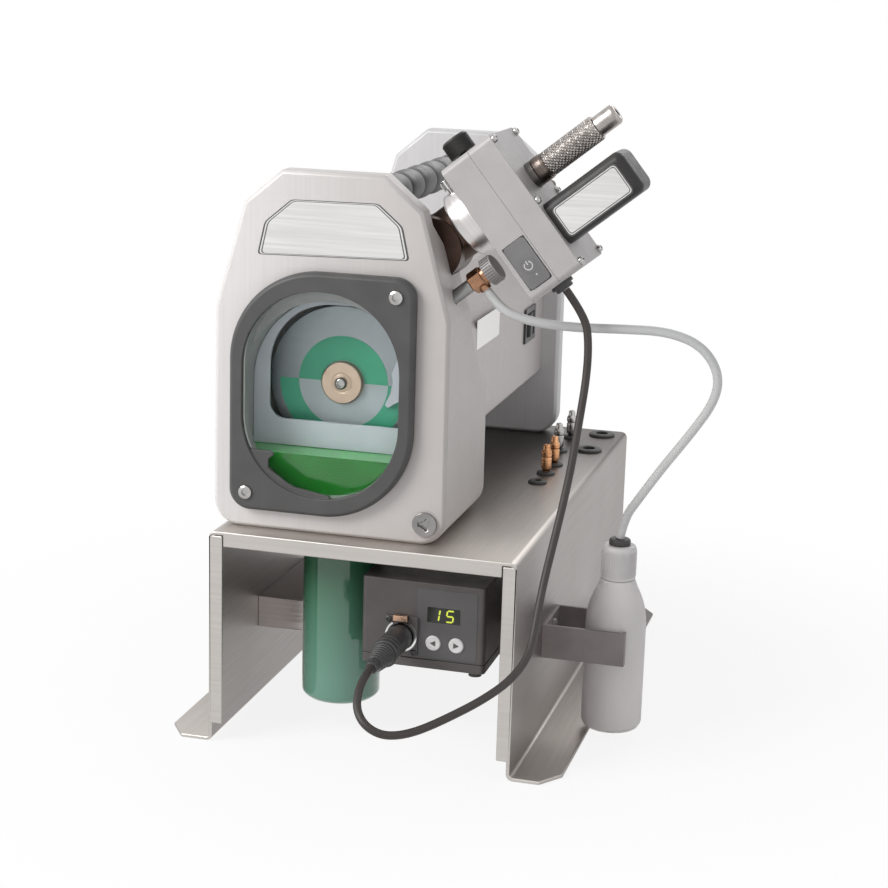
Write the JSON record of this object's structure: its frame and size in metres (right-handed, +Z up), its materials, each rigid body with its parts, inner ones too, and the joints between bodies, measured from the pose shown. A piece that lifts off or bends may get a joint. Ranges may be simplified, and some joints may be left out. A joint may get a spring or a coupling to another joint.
{
  "type": "wet electrode sharpener",
  "caption": "Bench sharpener for welding electrodes: wet diamond wheel in a windowed casing, a swinging driven holder head, a drip bottle and a control box on a bent stand.",
  "frame": {"origin": "on the bench under the middle of the object's box, without its cable and hose", "axes": "+X to the operator's right, +Y to the back of the machine, +Z up"},
  "size_m": [0.4071, 0.5649, 0.5016],
  "materials": {
    "stainless": "brushed",
    "casing": "satin",
    "black_rubber": "matte",
    "brass": "satin",
    "black_plastic": "matte",
    "clear": "clear",
    "steel": "turned",
    "white_plastic": "matte",
    "green_fluid": "liquid",
    "chrome": "polished",
    "motor": "cast",
    "hose": "translucent",
    "cable": "matte",
    "jar": "gloss",
    "clip": "matte",
    "bottle": "milky",
    "head_shell": "satin",
    "alloy": "turned",
    "pad": "matte",
    "dark_metal": "satin",
    "grey_key": "matte"
  },
  "bodies": {
    "base": {"stand_frame": "stainless", "stand_brace": "stainless", "large_grommets": "black_rubber", "small_grommets": "black_rubber", "spare_collets": "brass", "front_casing": "casing", "window_frame": "black_plastic", "window_pane": "clear", "window_screws": "steel", "splash_guard": "white_plastic", "coolant": "green_fluid", "drain_plug": "chrome", "motor_cover": "casing", "motor_housing": "motor", "motor_bearings": "steel", "rear_plate": "casing", "carry_handle": "black_rubber", "switch_bezel": "black_plastic", "mains_inlet": "black_plastic", "pivot_pin": "steel", "hose_fitting": "brass", "hose_nut": "black_plastic", "fluid_hose": "hose", "sludge_jar": "jar", "jar_collar": "black_plastic", "bottle_clip": "clip", "drip_bottle": "bottle", "bottle_cap": "white_plastic", "cap_grommet": "black_rubber", "control_shell": "black_plastic", "control_base": "black_plastic", "control_feet": "black_rubber", "panel_socket": "chrome", "plug_body": "dark_metal", "plug_boot": "black_rubber", "head_cable": "cable"},
    "spindle": {"motor_shaft": "steel", "grinding_wheel": "steel", "hub_flange": "brass", "hub_screw": "steel"},
    "head": {"swing_drum": "black_plastic", "head_flange": "alloy", "head_rear_shell": "head_shell", "head_front_shell": "head_shell", "head_screws": "steel", "hand_grip": "black_plastic", "cable_gland": "black_plastic", "drive_motor": "steel", "drive_belt": "pad"},
    "sleeve": {"drive_sleeve": "steel"},
    "pulley": {"drive_pulley": "steel"},
    "holder": {"electrode_holder": "steel", "holder_cap": "steel"},
    "knob": {"clamp_knob": "black_plastic"},
    "thumb": {"thumb_screw": "steel"},
    "pad": {"power_pad": "pad"},
    "down_key": {"left_button": "grey_key"},
    "up_key": {"right_button": "grey_key"},
    "latch": {"socket_latch": "chrome"},
    "rocker": {"rocker_switch": "black_plastic"}
  },
  "joints": [
    {"name": "wheel_spin", "type": "hinge", "parent": "base", "child": "spindle", "pos_m": [-0.05925, -0.146, 0.28], "axis": [0, 1, 0], "continuous": true},
    {"name": "head_swing", "type": "hinge", "parent": "base", "child": "head", "pos_m": [0.01165, -0.146, 0.3891], "axis": [0, 1, 0], "range_deg": [-15, 8], "deforming": ["head_cable"]},
    {"name": "sleeve_spin", "type": "hinge", "parent": "head", "child": "sleeve", "pos_m": [0.07391, -0.146, 0.43934], "axis": [0.7782, 0, 0.628], "continuous": true},
    {"name": "pulley_spin", "type": "hinge", "parent": "head", "child": "pulley", "pos_m": [0.09918, -0.158, 0.40801], "axis": [0.7782, 0, 0.628], "continuous": true},
    {"name": "holder_pull", "type": "slide", "parent": "sleeve", "child": "holder", "axis": [0.7782, 0, 0.628], "range_m": [0, 0.022]},
    {"name": "knob_turn", "type": "hinge", "parent": "head", "child": "knob", "pos_m": [0.02853, -0.146, 0.46054], "axis": [-0.628, 0, 0.7782], "range_deg": [0, 270]},
    {"name": "thumb_turn", "type": "hinge", "parent": "head", "child": "thumb", "pos_m": [0.01724, -0.146, 0.43473], "axis": [-0.628, 0, 0.7782], "range_deg": [0, 270]},
    {"name": "pad_press", "type": "slide", "parent": "head", "child": "pad", "axis": [0, 1, 0], "range_m": [0, 0.0006], "stiffness_N_per_m": 2000},
    {"name": "left_press", "type": "slide", "parent": "base", "child": "down_key", "axis": [0, 1, 0], "range_m": [0, 0.001], "stiffness_N_per_m": 2000},
    {"name": "right_press", "type": "slide", "parent": "base", "child": "up_key", "axis": [0, 1, 0], "range_m": [0, 0.001], "stiffness_N_per_m": 2000},
    {"name": "latch_press", "type": "slide", "parent": "base", "child": "latch", "axis": [0, 0, -1], "range_m": [0, 0.0015], "stiffness_N_per_m": 1500},
    {"name": "rocker_tilt", "type": "hinge", "parent": "base", "child": "rocker", "pos_m": [0.01775, 0.1295, 0.284], "axis": [0, 0, 1], "range_deg": [-16, 0]}
  ],
  "couplings": [
    {"joint": "pulley_spin", "follows": "sleeve_spin", "ratio": 2}
  ]
}
